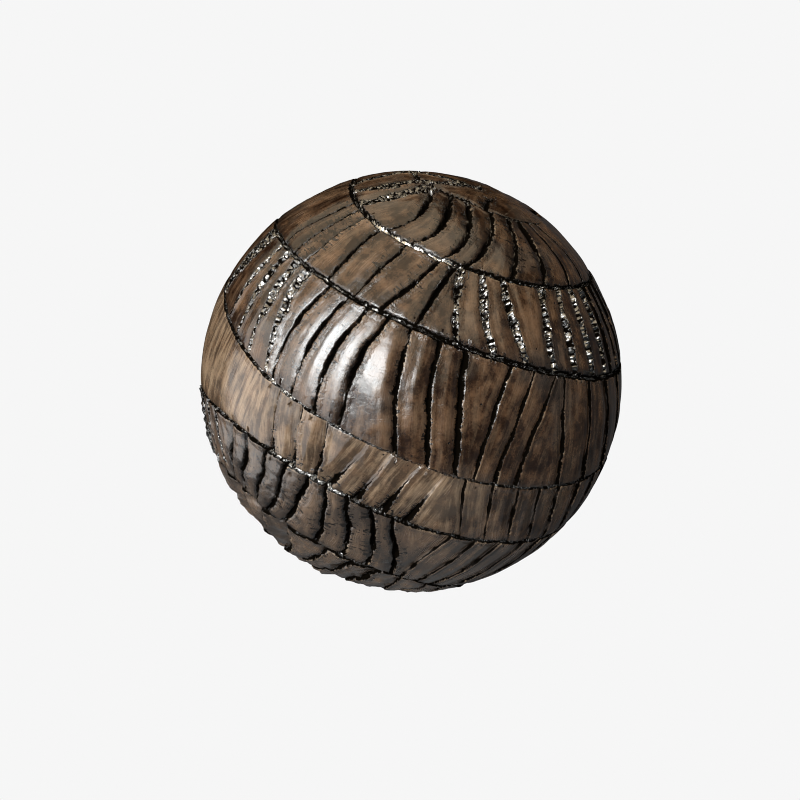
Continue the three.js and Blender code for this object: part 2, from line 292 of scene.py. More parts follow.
# Pale tan along the far edges of cuts: wear, and partly a painted highlight.
EDGE_WEAR_AND_HIGHLIGHT_TAN = (0.3, 0.22, 0.145, 1)
STAIN_BLACK = (0.004, 0.003, 0.0025, 1)
# Matt black deep in the grooves: black paint, and painted shade there.
GROOVE_BLACK_AND_SHADE = (0.002, 0.0015, 0.001, 1)
PEWTER = (0.25, 0.245, 0.24, 1)
SILVER = (0.8, 0.79, 0.77, 1)

# How far the paint's relief, which is too fine to carve, stands out or lies in.
PAINTED_PEBBLE = 0.25 * MM
BEAD_RELIEF = 0.3 * MM
RIM_RELIEF = 0.6 * MM
HOLLOW_RELIEF = 0.25 * MM
STAIN_RELIEF = 0.05 * MM
EDGE_WEAR_AND_HIGHLIGHT_RELIEF = 0.06 * MM
FINE_STROKE_RELIEF = 0.015 * MM
BROAD_STROKE_RELIEF = 0.035 * MM
SCRATCH_RELIEF = 0.02 * MM
DENT_RELIEF = 0.09 * MM
CRUMB_RELIEF = 0.02 * MM
SHADED_CRUMB_RELIEF = 0.05 * MM

# The camera. It stands this many ball radii from the ball's centre, this many degrees up.
VIEW_DISTANCE = 6.0
VIEW_ELEVATION = 23.6
LENS = 55.9
AIM_LEFT = 0.0531  # of the ball's radius, past its centre
AIM_BELOW = 0.0908

# The studio. The floor and the backdrop are equally pale. Each light has the direction to it, its
# strength, how wide it looks in degrees, and its colour.
PALE = (0.922, 0.922, 0.922, 1)
FLOOR_REACH = 4  # metres
PICTURE_SOFTNESS = 1.0
LIGHTS = {
    "window_middle": ((-0.345, -0.81, 0.465), 0.8, 16, (0.92, 0.97, 1.0)),
    "window": ((-0.345, -0.81, 0.465), 2.5, 34, (0.94, 0.98, 1.0)),
    "window_glow": ((-0.5, -0.75, 0.43), 1.2, 65, (1, 1, 1)),
    "left_wall": ((-0.9, -0.33, -0.12), 2.45, 80, (1, 1, 1)),
    "ceiling": ((-0.2, -0.2, 0.95), 2.45, 120, (1.0, 0.83, 0.58)),
    "room": ((0.3, -0.9, -0.2), 0.16, 150, (0.72, 0.88, 1.0)),
    "table": ((-0.25, -0.35, -0.9), 0.25, 120, (0.85, 0.94, 1.0)),
    "far_wall": ((0.7, 0.4, -0.6), 0.12, 120, (0.95, 0.97, 1.0)),
}


# ---------------- nodes


class Value:
    """A socket of a node tree. Arithmetic on it adds Math nodes."""

    def __init__(self, tree, socket):
        self.tree = tree
        self.socket = socket

    def __add__(self, other):
        return self.tree.maths("ADD", self, other)

    def __radd__(self, other):
        return self.tree.maths("ADD", other, self)

    def __sub__(self, other):
        return self.tree.maths("SUBTRACT", self, other)

    def __rsub__(self, other):
        return self.tree.maths("SUBTRACT", other, self)

    def __mul__(self, other):
        return self.tree.maths("MULTIPLY", self, other)

    def __rmul__(self, other):
        return self.tree.maths("MULTIPLY", other, self)

    def __truediv__(self, other):
        return self.tree.maths("DIVIDE", self, other)

    def __rtruediv__(self, other):
        return self.tree.maths("DIVIDE", other, self)

    def __neg__(self):
        return self.tree.maths("MULTIPLY", self, -1)

    def __abs__(self):
        return self.tree.maths("ABSOLUTE", self)


class Tree:
    """Builds a node tree."""

    def __init__(self, tree):
        self.tree = tree

    def add(self, kind, settings=None, inputs=None, output=None):
        """Adds a node: its settings first, then its sockets by name or in order. Returns an output."""
        node = self.tree.nodes.new(kind)
        for name, value in (settings or {}).items():
            setattr(node, name, value)
        sockets = [socket for socket in node.inputs if socket.enabled]
        pairs = enumerate(inputs) if isinstance(inputs, list) else (inputs or {}).items()
        for key, value in pairs:
            socket = sockets[key] if isinstance(key, int) else named(sockets, key)
            self.fill(socket, value)
        outputs = [socket for socket in node.outputs if socket.enabled]
        if not outputs:
            return node
        return Value(self, named(outputs, output) if output else outputs[0])

    def fill(self, socket, value):
        if isinstance(value, Value):
            self.tree.links.new(value.socket, socket)
        else:
            socket.default_value = value

    def maths(self, operation, *values):
        return self.add("ShaderNodeMath", {"operation": operation}, list(values))

    def larger(self, first, second):
        return self.maths("MAXIMUM", first, second)

    def smaller(self, first, second):
        return self.maths("MINIMUM", first, second)

    def vector(self, operation, *values, **named_inputs):
        inputs = dict(enumerate(values), **named_inputs)
        return self.add("ShaderNodeVectorMath", {"operation": operation}, inputs)

    def dot(self, first, second):
        return self.add("ShaderNodeVectorMath", {"operation": "DOT_PRODUCT"}, [first, second], "Value")

    def length(self, vector):
        return self.add("ShaderNodeVectorMath", {"operation": "LENGTH"}, [vector], "Value")

    def split(self, vector):
        """A vector's three numbers."""
        node = self.add("ShaderNodeSeparateXYZ", None, [vector]).socket.node
        return [Value(self, socket) for socket in node.outputs]

    def join(self, x, y, z):
        return self.add("ShaderNodeCombineXYZ", None, [x, y, z])

    def step(self, value, start, end, low=0.0, high=1.0):
        """low where value is at start, high at end, and a smooth curve between."""
        return self.add(
            "ShaderNodeMapRange",
            {"interpolation_type": "SMOOTHSTEP"},
            {"Value": value, "From Min": start, "From Max": end, "To Min": low, "To Max": high},
        )

    def ramp(self, value, start, end):
        """0 where value is at start, 1 at end, and straight between."""
        inputs = {"Value": value, "From Min": start, "From Max": end}
        return self.add("ShaderNodeMapRange", {"interpolation_type": "LINEAR"}, inputs)

    def mix(self, kind, share, first, second):
        return self.add("ShaderNodeMix", {"data_type": kind}, {"Factor": share, "A": first, "B": second})

    def blend(self, share, first, second):
        return self.mix("FLOAT", share, first, second)

    def blend_vectors(self, share, first, second):
        return self.mix("VECTOR", share, first, second)

    def blend_colours(self, share, first, second):
        return self.mix("RGBA", share, first, second)

    def noise(self, at, size, detail=2.0, roughness=0.5, output=None):
        """Fractal noise from 0 to 1, whose lumps are about size across."""
        inputs = {"Vector": at, "Scale": 1 / size, "Detail": detail, "Roughness": roughness}
        return self.add("ShaderNodeTexNoise", None, inputs, output)

    def cells(self, at, size):
        """Round cells about size apart: the distance to a cell's middle, its tint and its middle."""
        node = self.add("ShaderNodeTexVoronoi", {"feature": "F1"}, {"Vector": at, "Scale": 1 / size})
        outputs = node.socket.node.outputs
        return [Value(self, named(outputs, name)) for name in ("Distance", "Color", "Position")]


def named(sockets, name):
    return next(socket for socket in sockets if name in (socket.name, socket.identifier))


def pebbles(tree, at, height):
    """Pebbles side by side: their height, with tops that tilt every way, and where they are, as 1
    on a pebble and 0 between them."""
    distance, tint, middle = tree.cells(at, PEBBLE_SIZE)
    tilt = tree.vector("SUBTRACT", tint, (0.5, 0.5, 0.5))
    slope = tree.dot(tilt, tree.vector("SUBTRACT", at, middle)) * 2 * PEBBLE_TILT
    dome = 1 - distance * distance
    return slope + dome * height, tree.step(distance, *PEBBLE_EDGE)


# ---------------- the carving's lines


def turns_at(turn, longitude):
    return turn + (TURN_LONGITUDES[0] - longitude) / 360


KNOTS = [
    (turns_at(turn, longitude), latitude)
    for turn, row in enumerate(TURN_LATITUDES)
    for longitude, latitude in zip(TURN_LONGITUDES, row)
]
LAST_TURN = KNOTS[-1][0]


def rise(i):
    return (KNOTS[i + 1][1] - KNOTS[i][1]) / (KNOTS[i + 1][0] - KNOTS[i][0])


def slope_at_knot(i):
    if i == 0:
        return rise(0)
    if i == len(KNOTS) - 1:
        return rise(i - 1)
    before = KNOTS[i][0] - KNOTS[i - 1][0]
    after = KNOTS[i + 1][0] - KNOTS[i][0]
    return (rise(i) * before + rise(i - 1) * after) / (before + after)


def knot_before(turns):
    return max((i for i in range(len(KNOTS) - 1) if KNOTS[i][0] <= turns), default=0)


def seam_latitude(turns):
    """The winding groove's latitude, a smooth curve through its rows."""
    if turns <= KNOTS[0][0]:
        return KNOTS[0][1] + slope_at_knot(0) * (turns - KNOTS[0][0])
    i = knot_before(turns)
    (start, low), (end, high) = KNOTS[i], KNOTS[i + 1]
    u = (turns - start) / (end - start)
    s = 1 - u
    return (
        low * s * s * (1 + 2 * u)
        + high * u * u * (1 + 2 * s)
        + (end - start) * (slope_at_knot(i) * u * s * s - slope_at_knot(i + 1) * s * u * u)
    )


LEANING = Matrix.Rotation(math.radians(AXIS_LEAN), 3, "Y")


def direction(latitude, longitude):
    """The unit vector at a latitude and longitude, in degrees, about the leaning axis."""
    ring = math.cos(math.radians(latitude))
    around = math.radians(longitude)
    upright = (ring * math.sin(around), -ring * math.cos(around), math.sin(math.radians(latitude)))
    return LEANING @ Vector(upright)


def band_point(band, longitude, across):
    """A point of a band: 0 across is on its upper edge and 1 on its lower edge."""
    upper = seam_latitude(turns_at(band - 1, longitude))
    lower = seam_latitude(turns_at(band, longitude))
    return direction(upper + (lower - upper) * across, longitude)


def between(pair, share):
    return pair[0] + (pair[1] - pair[0]) * share


def three_way(values, share):
    """A value between an upper, a middle and a lower one."""
    return between(values[:2], share * 2) if share < 0.5 else between(values[1:], share * 2 - 1)


def seam_strength(turns):
    """How strong the winding groove is, from the rows given, and fading at both ends."""
    i = knot_before(turns)
    share = (turns - KNOTS[i][0]) / (KNOTS[i + 1][0] - KNOTS[i][0])
    strengths = [strength for row in TURN_STRENGTHS for strength in row]
    near_end = min(turns, LAST_TURN - turns)
    return between(strengths[i : i + 2], share) * min(1.0, near_end / SEAM_FADE_TURNS)


def seam_silver(turns):
    """How brightly the winding groove's bead is silvered."""
    stretches = ((min(turns - start, end - turns), bright) for start, end, bright in SILVERED_TURNS)
    return max(0.0, *(bright * min(1.0, inside / SILVER_FADE_TURNS) for inside, bright in stretches))


class Line(NamedTuple):
    """A groove's line: its set and kind, and at each of its points the unit vector to it, how
    strong the groove is, and how many turns down it is, or for a cut its band."""

    line_set: int
    kind: Kind
    points: list
    strengths: list
    turns: list


def seam_line():
    line = Line(SEAM_SET, KINDS["seam"], [], [], [])
    turns = 0.0
    while turns < LAST_TURN:
        latitude = seam_latitude(turns)
        line.points.append(direction(latitude, TURN_LONGITUDES[0] - 360 * turns))
        line.strengths.append(seam_strength(turns))
        line.turns.append(turns)
        turns += GUIDE_STEP / (2 * math.pi * BALL_RADIUS * math.cos(math.radians(latitude)))
    return line


def cut_set(band, number):
    """The set of lines that a band's cut is in. Neighbours are in different ones."""
    return 1 + 2 * (band % 2) + number % 2


def cut_line(number, band, longitude, lean, bow, kind):
    """The line of one cut across its band."""

    def point_at(across):
        bulge = bow * (4 * across * (1 - across) - 1)
        return band_point(band, longitude + lean * (across - 0.5) + bulge, across)

    middle = point_at(0.5)
    length = BALL_RADIUS * (point_at(0).angle(middle) + middle.angle(point_at(1)))
    steps = max(FEWEST_STEPS, round(length / GUIDE_STEP))
    shares = [i / steps for i in range(steps + 1)]
    points = [point_at(between(kind.span, share)) for share in shares]
    strengths = [three_way(kind.widths, share) for share in shares]
    return Line(cut_set(band, number), kind, points, strengths, [band] * len(points))


def carving_lines():
    lines = [seam_line()]
    so_far = Counter()
    for band, first, last, count, leans, bows, kind in FANS:
        for i in range(count):
            share = i / (count - 1) if count > 1 else 0
            longitude, lean, bow = (between(pair, share) for pair in ((first, last), leans, bows))
            lines.append(cut_line(so_far[band], band, longitude, lean, bow, KINDS[kind]))
            so_far[band] += 1
    return lines


def guide_values(line, line_number, i):
    """What a line's point i holds: its groove's sizes, the way along it and the way across it to its
    far side, and the distance along all the lines. Silvered is how silvery a cut's pebbles or the
    winding groove's bead are."""
    kind, strength, turn = line.kind, line.strengths[i], line.turns[i]
    last = len(line.points) - 1
    ahead = (line.points[min(i + 1, last)] - line.points[max(i - 1, 0)]).normalized()
    return {
        "form": (kind.depth * strength * MM, kind.lap * min(strength, 1) * MM, kind.reach * MM),
        "widths": (kind.near * strength * MM, kind.far * strength * MM, kind.stain * strength**2 * MM),
        "way": line.points[i].cross(ahead),
        "ahead": ahead,
        "silvered": seam_silver(turn) if line.line_set == SEAM_SET else kind.pebbled,
        "turn": turn,
        "along": i * GUIDE_STEP + line_number * LINE_SPACING,
    }


def carving_guides(centre):
    """One wire mesh of all the lines, on the ball's surface."""
    points, edges, sets = [], [], []
    values = {name: [] for name in (*GUIDE_NUMBERS, *GUIDE_VECTORS)}
    for line_number, line in enumerate(carving_lines()):
        start = len(points)
        edges += [(start + i, start + i + 1) for i in range(len(line.points) - 1)]
        points += [centre + point * BALL_RADIUS for point in line.points]
        sets += [line.line_set] * len(line.points)
        for i in range(len(line.points)):
            for name, value in guide_values(line, line_number, i).items():
                values[name].append(value)
    mesh = bpy.data.meshes.new("carving_guides")
    mesh.from_pydata(points, edges, [])
    mesh.attributes.new("line_set", "INT", "POINT").data.foreach_set("value", sets)
    for name in GUIDE_NUMBERS:
        mesh.attributes.new(name, "FLOAT", "POINT").data.foreach_set("value", values[name])
    for name in GUIDE_VECTORS:
        flat_values = [number for value in values[name] for number in value]
        mesh.attributes.new(name, "FLOAT_VECTOR", "POINT").data.foreach_set("vector", flat_values)
    return mesh


# ---------------- the carved ball


def field(tree, name, kind="FLOAT"):
    return tree.add("GeometryNodeInputNamedAttribute", {"data_type": kind}, {"Name": name}, "Attribute")


def vector_field(tree, name):
    return field(tree, name, "FLOAT_VECTOR")


def stored(tree, geometry, name, value):
    return tree.add(
        "GeometryNodeStoreNamedAttribute",
        {"data_type": "FLOAT_VECTOR", "domain": "POINT"},
        {"Geometry": geometry, "Name": name, "Value": value},
    )


def moved_to(tree, geometry, position):
    return tree.add("GeometryNodeSetPosition", None, {"Geometry": geometry, "Position": position})


def lines_of_set(tree, guides, line_set):
    is_set = tree.add(
        "FunctionNodeCompare",
        {"data_type": "INT", "operation": "EQUAL"},
        {"A": field(tree, "line_set", "INT"), "B": line_set},
    )
    inputs = {"Geometry": guides, "Selection": is_set}
    return tree.add("GeometryNodeSeparateGeometry", {"domain": "POINT"}, inputs)


class NearestLine:
    """The nearest line of a set to each place: its values there, and the place's distance from it,
    which is negative on its near side."""

    def __init__(self, tree, lines, at):
        self.tree = tree
        self.lines = lines
        inputs = {"Geometry": lines, "Sample Position": at}
        self.nearest = tree.add("GeometryNodeSampleNearest", {"domain": "POINT"}, inputs)
        there = self.sample(tree.add("GeometryNodeInputPosition"), "FLOAT_VECTOR")
        self.offset = tree.vector("SUBTRACT", at, there)
        self.way = self.vector("way")
        self.side = tree.dot(self.offset, self.way)
        self.is_far = tree.maths("GREATER_THAN", self.side, 0.0)
        inputs = {"Target": lines, "Source Position": at}
        self.distance = tree.add("GeometryNodeProximity", {"target_element": "EDGES"}, inputs, "Distance")
        self.across = self.distance * (self.is_far * 2 - 1)

    @cached_property
    def along(self):
        return self.number("along") + self.tree.dot(self.offset, self.vector("ahead"))

    @cached_property
    def band(self):
        return self.number("turn") + self.is_far

    def sample(self, value, kind):
        inputs = {"Geometry": self.lines, "Value": value, "Index": self.nearest}
        return self.tree.add("GeometryNodeSampleIndex", {"data_type": kind, "domain": "POINT"}, inputs)

    def number(self, name):
        return self.sample(field(self.tree, name), "FLOAT")

    def vector(self, name):
        return self.sample(vector_field(self.tree, name), "FLOAT_VECTOR")

    def kept(self):
        """The values to store, by the ends of their names."""
        silvered = self.number("silvered")
        return {
            "_course": self.tree.join(self.across, self.side, self.along),
            "_look": self.tree.join(silvered, self.distance, self.band),
            "_widths": self.vector("widths"),
            "_form": self.vector("form"),
        }


def groove_depth(tree, name):
    """How far a set's grooves and the leaves that lap over them sink, from its stored values."""
    across, _, _ = tree.split(vector_field(tree, name + "_course"))
    near, far, _ = tree.split(vector_field(tree, name + "_widths"))
    depth, lap, reach = tree.split(vector_field(tree, name + "_form"))
    near_wall = tree.step(across, -near, near * -NEAR_FLOOR)
    far_wall = tree.step(across, far * FAR_FLOOR, far, 1.0, 0.0)
    lapped = tree.ramp(-across, near + reach, near * LAP_END)
    step_up = tree.step(across, far * STEP_START, far, 1.0, 0.0)
    return near_wall * far_wall * depth + lapped * step_up * lap


def pebble_share(tree, name):
    """How far a set's grooves are filled with pebbled ground."""
    across, _, _ = tree.split(vector_field(tree, name + "_course"))
    near, far, _ = tree.split(vector_field(tree, name + "_widths"))
    near_share = tree.step(across, -near, near * -PEBBLED_NEAR)
    inside = near_share * tree.step(across, far * PEBBLED_FAR, far, 1.0, 0.0)
    silvered, _, _ = tree.split(vector_field(tree, name + "_look"))
    return silvered * inside


def blend_by_nearest(tree, aways, values):
    """Blends the values of even and odd cuts by how far away the nearest of each is."""
    return tree.blend(tree.step(aways[0] / (aways[0] + aways[1]), 0.4, 0.6), *values)


def pleats(tree, size):
    """Soft ridges that run along the cuts, about 0, and fade out away from them."""
    aways, waves = [], []
    for name in GROOVES[1:]:
        _, side, along = tree.split(vector_field(tree, name + "_course"))
        _, away, _ = tree.split(vector_field(tree, name + "_look"))
        aways.append(away)
        waves.append(tree.noise(tree.join(side, along * PLEAT_STRETCH, 0.0), size))
    by_cuts = blend_by_nearest(tree, aways, waves)
    return (by_cuts - 0.5) * tree.step(tree.smaller(*aways), *PLEAT_FADE, 1.0, 0.0)


class Carver:
    """Builds the nodes that make the ball and carve it. given holds the modifier's inputs."""

    def __init__(self, tree, given):
        self.tree = tree
        self.given = given
        self.sets = [lines_of_set(tree, given["Geometry"], line_set) for line_set in range(SET_COUNT)]
        self.outward = None  # the direction out through each corner, once that is stored

    def on_ball(self, outward):
        tree, given = self.tree, self.given
        return tree.vector("ADD", tree.vector("SCALE", outward, Scale=given["Radius"]), given["Centre"])

    def outward_from(self, place):
        return self.tree.vector("NORMALIZE", self.tree.vector("SUBTRACT", place, self.given["Centre"]))

    def lumps(self, name, output=None):
        return self.tree.noise(self.on_ball(self.outward), self.given[name + " Size"], 3.0, 0.5, output)

    def wander(self, name):
        """A shift that differs from place to place, at most half of 1 each way."""
        return self.tree.vector("SUBTRACT", self.lumps(name, "Color"), (0.5, 0.5, 0.5))

    def even_ball(self):
        """Six patches of quads, which crowd a little towards one side."""
        tree = self.tree
        count = CELLS + 1
        inputs = {"Size": (2, 2, 2), "Vertices X": count, "Vertices Y": count, "Vertices Z": count}
        cube = tree.add("GeometryNodeMeshCube", None, inputs, "Mesh")
        eighth_turns = tree.vector("SCALE", tree.add("GeometryNodeInputPosition"), Scale=math.pi / 4)
        even = tree.vector("NORMALIZE", tree.vector("TANGENT", eighth_turns))
        crowded = tree.vector("NORMALIZE", tree.vector("ADD", even, FINER_SIDE))
        return moved_to(tree, cube, self.on_ball(crowded))

    def drawn_to_lines(self, ball):
        """Draws the quads towards the lines, so that grooves get most of them."""
        tree, given = self.tree, self.given
        for lines in self.sets:
            place = tree.add("GeometryNodeInputPosition")
            line = NearestLine(tree, lines, place)
            pull = tree.step(abs(line.across), 0.0, given["Draw Reach"], given["Draw"], 0.0)
            drawn = tree.vector("SUBTRACT", place, tree.vector("SCALE", line.way, Scale=line.across * pull))
            ball = moved_to(tree, ball, self.on_ball(self.outward_from(drawn)))
        ball = stored(tree, ball, "outward", self.outward_from(tree.add("GeometryNodeInputPosition")))
        self.outward = vector_field(tree, "outward")
        return ball

    def with_lines(self, ball):
        """Stores how each corner lies to the nearest lines, as seen from a place a little way off, so
        that the grooves wander."""
        tree, given = self.tree, self.given
        shaken = tree.vector("SCALE", self.wander("Wobble"), Scale=given["Wobble"])
        steadied = tree.vector("SCALE", shaken, Scale=SEAM_STEADINESS)
        steadier = tree.vector("ADD", self.on_ball(self.outward), steadied)
        at = tree.vector("ADD", self.on_ball(self.outward), shaken)
        seam = NearestLine(tree, self.sets[SEAM_SET], steadier)
        kinked = self.wander("Kink")
        kink = given["Kink"] * tree.step(seam.band, KINKED_FROM - KINK_CHANGE, KINKED_FROM + KINK_CHANGE)
        at = tree.vector("ADD", at, tree.vector("SCALE", kinked, Scale=kink))
        is_odd_band = tree.maths("MODULO", tree.maths("FLOOR", seam.band), 2.0)
        for end, value in seam.kept().items():
            ball = stored(tree, ball, "seam" + end, value)
        wide = tree.step(self.lumps("Width"), *WIDTH_NOISE, *WIDTH_VARIETY)
        for number, name in enumerate(GROOVES[1:]):
            sets = (self.sets[cut_set(band, number)] for band in (0, 1))
            even_band, odd_band = (NearestLine(tree, lines, at).kept() for lines in sets)
            for end in even_band:
                value = tree.blend_vectors(is_odd_band, even_band[end], odd_band[end])
                if end == "_widths":
                    value = tree.vector("SCALE", value, Scale=wide)
                ball = stored(tree, ball, name + end, value)
        return ball

    def raised(self):
        """The height of the pebbled ground."""
        tree = self.tree
        share = tree.larger(pebble_share(tree, "even"), pebble_share(tree, "odd"))
        height, _ = pebbles(tree, self.on_ball(self.outward), self.given["Pebble"])
        return share * (height + PEBBLE_BED)

    def swelling(self):
        """The casting's unevenness, both ways."""
        tree, given = self.tree, self.given
        _, _, band = tree.split(vector_field(tree, "seam_look"))
        lumpy = tree.step(band, LUMPY_FROM - LUMPY_CHANGE, LUMPY_FROM + LUMPY_CHANGE, 1.0, LUMPIER)
        broad = (self.lumps("Swell") - 0.5) * given["Swell"]
        smaller = (self.lumps("Facet") - 0.5) * given["Facet"] * lumpy
        return broad + smaller + pleats(tree, given["Pleat Size"]) * given["Pleat"]

    def share_carved(self):
        """0 on the flat, and 1 past the plain collar round it."""
        tree, given = self.tree, self.given
        _, _, upward = tree.split(self.outward)
        from_bottom = tree.maths("ARCCOSINE", -upward) * given["Radius"]
        return tree.step(from_bottom - FLAT_RADIUS, 0.0, given["Collar"])

    def carved(self, ball):
        tree, given = self.tree, self.given
        seam, evens, odds = (groove_depth(tree, name) for name in GROOVES)
        sunk = tree.larger(seam, tree.larger(evens, odds))
        raised = self.raised()
        relief = self.swelling() + raised - sunk
        radius = given["Radius"] + relief * self.share_carved()
        carved = tree.vector("ADD", tree.vector("SCALE", self.outward, Scale=radius), given["Centre"])
        ball = moved_to(tree, ball, tree.vector("MAXIMUM", carved, LOWEST_PLACE))
        return stored(tree, ball, "on_ball", self.on_ball(self.outward))


def carving_tree(material):
    """The ball's modifier. The lines come in, and the carved ball goes out."""
    group = bpy.data.node_groups.new("carved_ball", "GeometryNodeTree")
    group.interface.new_socket("Geometry", in_out="INPUT", socket_type="NodeSocketGeometry")
    group.interface.new_socket("Centre", in_out="INPUT", socket_type="NodeSocketVector")
    for name in (*CARVING_SIZES, "Radius"):
        group.interface.new_socket(name, in_out="INPUT", socket_type="NodeSocketFloat")
    group.interface.new_socket("Geometry", in_out="OUTPUT", socket_type="NodeSocketGeometry")
    inputs = group.nodes.new("NodeGroupInput")
    tree = Tree(group)
    carver = Carver(tree, {socket.name: Value(tree, socket) for socket in inputs.outputs if socket.name})
    ball = carver.carved(carver.with_lines(carver.drawn_to_lines(carver.even_ball())))
    whole = tree.add("GeometryNodeRealizeInstances", None, {"Geometry": ball})
    smooth = tree.add("GeometryNodeSetShadeSmooth", None, {"Geometry": whole, "Shade Smooth": True})
    finished = tree.add("GeometryNodeSetMaterial", None, {"Geometry": smooth, "Material": material})
    outputs = group.nodes.new("NodeGroupOutput")
    group.links.new(finished.socket, outputs.inputs[0])
    return group


def placed(name, data):
    """A new object in the scene."""
    thing = bpy.data.objects.new(name, data)
    bpy.context.scene.collection.objects.link(thing)
    return thing


def carved_ball(centre, material):
    ball = placed("painted_ball", carving_guides(centre))
    modifier = ball.modifiers.new("carving", "NODES")
    modifier.node_group = carving_tree(material)
    chosen = {"Centre": centre, "Radius": BALL_RADIUS, **CARVING_SIZES}
    for socket in modifier.node_group.interface.items_tree:
        if socket.in_out == "INPUT" and socket.name in chosen:
            modifier[socket.identifier] = chosen[socket.name]
    graph = bpy.context.evaluated_depsgraph_get()
    evaluated = ball.evaluated_get(graph)
    mesh = bpy.data.meshes.new_from_object(evaluated, preserve_all_data_layers=True, depsgraph=graph)
    ball.modifiers.remove(modifier)
    ball.data = mesh
    return ball


# ---------------- paint and varnish


def attribute(tree, name):
    return tree.add("ShaderNodeAttribute", {"attribute_name": name}, None, "Vector")


def pole_to_pole(tree, place, centre):
    """How far round the leaning axis a place is, as two numbers, and how far along it."""
    inputs = {"Vector": tree.vector("SUBTRACT", place, centre), "Angle": -math.radians(AXIS_LEAN)}
    x, y, z = tree.split(tree.add("ShaderNodeVectorRotate", {"rotation_type": "Y_AXIS"}, inputs))
    out = tree.length(tree.join(x, y, 0.0))
    latitude = tree.maths("ARCTAN2", z, out)
    return x / out * BALL_RADIUS, y / out * BALL_RADIUS, latitude * BALL_RADIUS


def drawn_out(tree, place, centre, size, stretch, cross=False):
    """Noise of a size drawn out along the nearest cut, or across it, or from pole to pole where
    no cut is near."""
    aways, noises = [], []
    wide, long = (stretch, 1.0) if cross else (1.0, stretch)
    for name in GROOVES[1:]:
        _, side, along = tree.split(attribute(tree, name + "_course"))
        _, away, _ = tree.split(attribute(tree, name + "_look"))
        aways.append(away)
        noises.append(tree.noise(tree.join(side * wide, along * long, 0.0), size, 3.0, 0.6))
    x, y, along = pole_to_pole(tree, place, centre)
    plain = tree.noise(tree.join(x * wide, y * wide, along * long), size, 3.0, 0.6)
    by_cuts = blend_by_nearest(tree, aways, noises)
    return tree.blend(tree.step(tree.smaller(*aways), *FREE_BRUSHING), by_cuts, plain)


class Noises(NamedTuple):
    """Unevenness from 0 to 1. Each is named for what it makes most of."""

    patches: Value
    greyed: Value
    dents: Value
    crumbs: Value
    bites: Value


class Grooves(NamedTuple):
    """Where grooves have each layer of the paint, from 0 to 1."""

    black: Value
    stained: Value
    pebbled: Value
    # painted shade on the leaf beside a cut's near side
    shaded: Value
    rim: Value  # just past the far edge
    middle: Value


class Strokes(NamedTuple):
    """The marks of brushes, and scratches across them."""

    fine: Value
    broad: Value
    scratches: Value


def ticks(tree, noises, across, along, stain):
    """How far the stain's teeth reach out over the edge of a groove."""
    teeth = tree.noise(tree.join(along, across * 0.2, 0.0), *TEETH)
    reach = tree.step(teeth, *TOOTHED) * stain * TOOTH_REACH
    return reach * tree.step(noises.bites, *TOOTHED_PATCH)


def groove_layers(tree, name, noises):
    """The layers in one set of grooves."""
    across, _, along = tree.split(attribute(tree, name + "_course"))
    near, far, stain = tree.split(attribute(tree, name + "_widths"))
    silvered, away, _ = tree.split(attribute(tree, name + "_look"))
    ragged = (noises.crumbs - 0.5) * RAGGED_CRUMBS + (noises.bites - 0.5) * RAGGED_BITES
    ragged = ragged + (noises.dents - 0.5) * RAGGED_DENTS
    rough = across + ragged * tree.step(stain, 0.0, RAGGED_STAIN, 0.35, 1.0)
    painted_far = far * tree.blend(silvered, 1.0, 1.1) + PAST_FAR
    past_near = tree.step(rough, -near - PAINT_EDGE, PAINT_EDGE - near)
    past_far = tree.step(rough, painted_far - PAINT_EDGE, painted_far + PAINT_EDGE)
    # Black paint in the groove, which also stands in as painted shade deep in it.
    black = past_near * (1 - past_far)
    teeth = ticks(tree, noises, across, along, stain)
    near_reach = near + stain * (0.4 + noises.crumbs) + teeth
    near_stain = tree.step(rough, -near_reach - PAINT_EDGE, PAINT_EDGE - near_reach) * (1 - past_far)
    far_reach = painted_far + teeth
    far_stain = tree.step(across, far_reach - PAINT_EDGE, far_reach - 3 * PAINT_EDGE) * past_near
    # Painted shade over the leaf on the near side of a cut.
    shaded = tree.step(across, -near - SHADE_REACH, -near) * (1 - past_far)
    shaded = shaded * tree.step(stain, 0.0, SHADED_STAIN, 0.5, 1.0)
    rim = tree.step(rough, far + RIM_REACH, far) * past_far
    middle = tree.step(abs(rough) - silvered * SILVER_SPREAD, *BEAD_EDGE)
    shown = tree.step(away, *NEAR_LINE) * tree.step(near, *NARROW)
    layers = (black, tree.larger(near_stain, far_stain), black * silvered, shaded, rim, middle)
    return Grooves(*(layer * shown for layer in layers))


def all_grooves(tree, noises, silver):
    """The layers in all grooves. The middle is that of the winding groove's bead alone, in glints."""
    seam, evens, odds = (groove_layers(tree, name, noises) for name in GROOVES)
    glints = tree.step(noises.bites * 0.6 + noises.crumbs * 0.4 + silver * 0.14, *GLINTING)
    bead = seam.middle * glints

    def anywhere(layer):
        first = tree.larger(getattr(seam, layer), getattr(evens, layer))
        return tree.larger(first, getattr(odds, layer))

    layers = {layer: anywhere(layer) for layer in ("black", "stained", "shaded", "rim")}
    return Grooves(pebbled=tree.larger(evens.pebbled, odds.pebbled), middle=bead, **layers)


def brush_strokes(tree, place, centre, noises):
    fine = drawn_out(tree, place, centre, FINE_STROKE, STROKE_STRETCH)
    broad = drawn_out(tree, place, centre, BROAD_STROKE, STROKE_STRETCH * 2)
    scratches = drawn_out(tree, place, centre, SCRATCH, SCRATCH_STRETCH, cross=True)
    shown = tree.step(scratches, *SCRATCHED) * tree.step(noises.patches, *SCRATCHED_PATCH)
    return Strokes(fine, broad, shown)


def pits(tree, place, spacing):
    """Round pits about this far apart."""
    distance, _, _ = tree.cells(place, spacing)
    return tree.step(distance * spacing, PIT_WIDTH * 0.35, PIT_WIDTH * 0.5, 1.0, 0.0)


